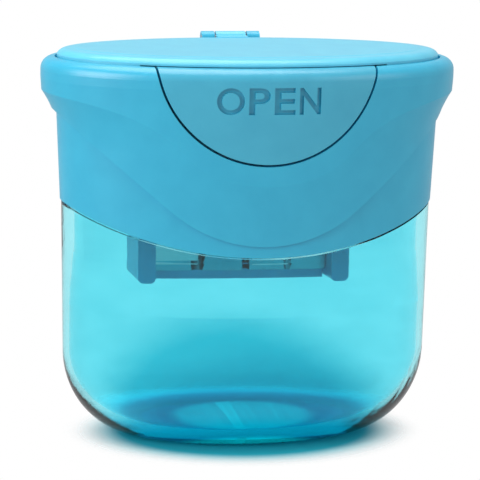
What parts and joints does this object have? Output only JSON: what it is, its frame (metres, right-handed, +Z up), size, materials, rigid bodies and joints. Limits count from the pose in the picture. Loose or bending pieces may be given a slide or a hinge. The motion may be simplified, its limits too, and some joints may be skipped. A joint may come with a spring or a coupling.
{
  "type": "canister pencil sharpener",
  "caption": "Hand-held canister pencil sharpener with a see-through chip bin, a flip lid over the pencil holes and a front push button.",
  "frame": {"origin": "centre of the flat base, on the surface it stands on", "axes": "+Z up, +X along the wide side, -Y towards the push button"},
  "size_m": [0.062, 0.0356, 0.0589],
  "materials": {
    "clear_bin": "clear tinted",
    "head_plastic": "gloss",
    "lid_plastic": "gloss",
    "button_plastic": "satin",
    "carrier_plastic": "satin",
    "block_metal": "satin",
    "blade_steel": "ground",
    "screw_steel": "plated",
    "pin_steel": "drawn",
    "spring_steel": "rolled"
  },
  "bodies": {
    "bin": {"chip_bin": "clear_bin"},
    "head": {"head_shell": "head_plastic", "cutter_carrier": "carrier_plastic", "carrier_screws": "screw_steel", "large_block": "block_metal", "large_blade": "blade_steel", "large_blade_screw": "screw_steel", "small_block": "block_metal", "small_blade": "blade_steel", "small_blade_screw": "screw_steel", "hinge_pin": "pin_steel", "catch_leaf": "spring_steel", "leaf_screw": "screw_steel"},
    "lid": {"lid": "lid_plastic"},
    "button": {"open_button": "button_plastic"}
  },
  "joints": [
    {"name": "head_lift", "type": "slide", "parent": "bin", "child": "head", "axis": [0, 0, 1], "range_m": [0, 0.03]},
    {"name": "lid_hinge", "type": "hinge", "parent": "head", "child": "lid", "pos_m": [0, 0.0162, 0.0578], "axis": [-1, 0, 0], "range_deg": [0, 105], "deforming": ["catch_leaf"]},
    {"name": "button_press", "type": "slide", "parent": "head", "child": "button", "axis": [0, 1, 0], "range_m": [0, 0.0015], "stiffness_N_per_m": 800, "springref_m": -0.002, "deforming": ["catch_leaf"]}
  ]
}
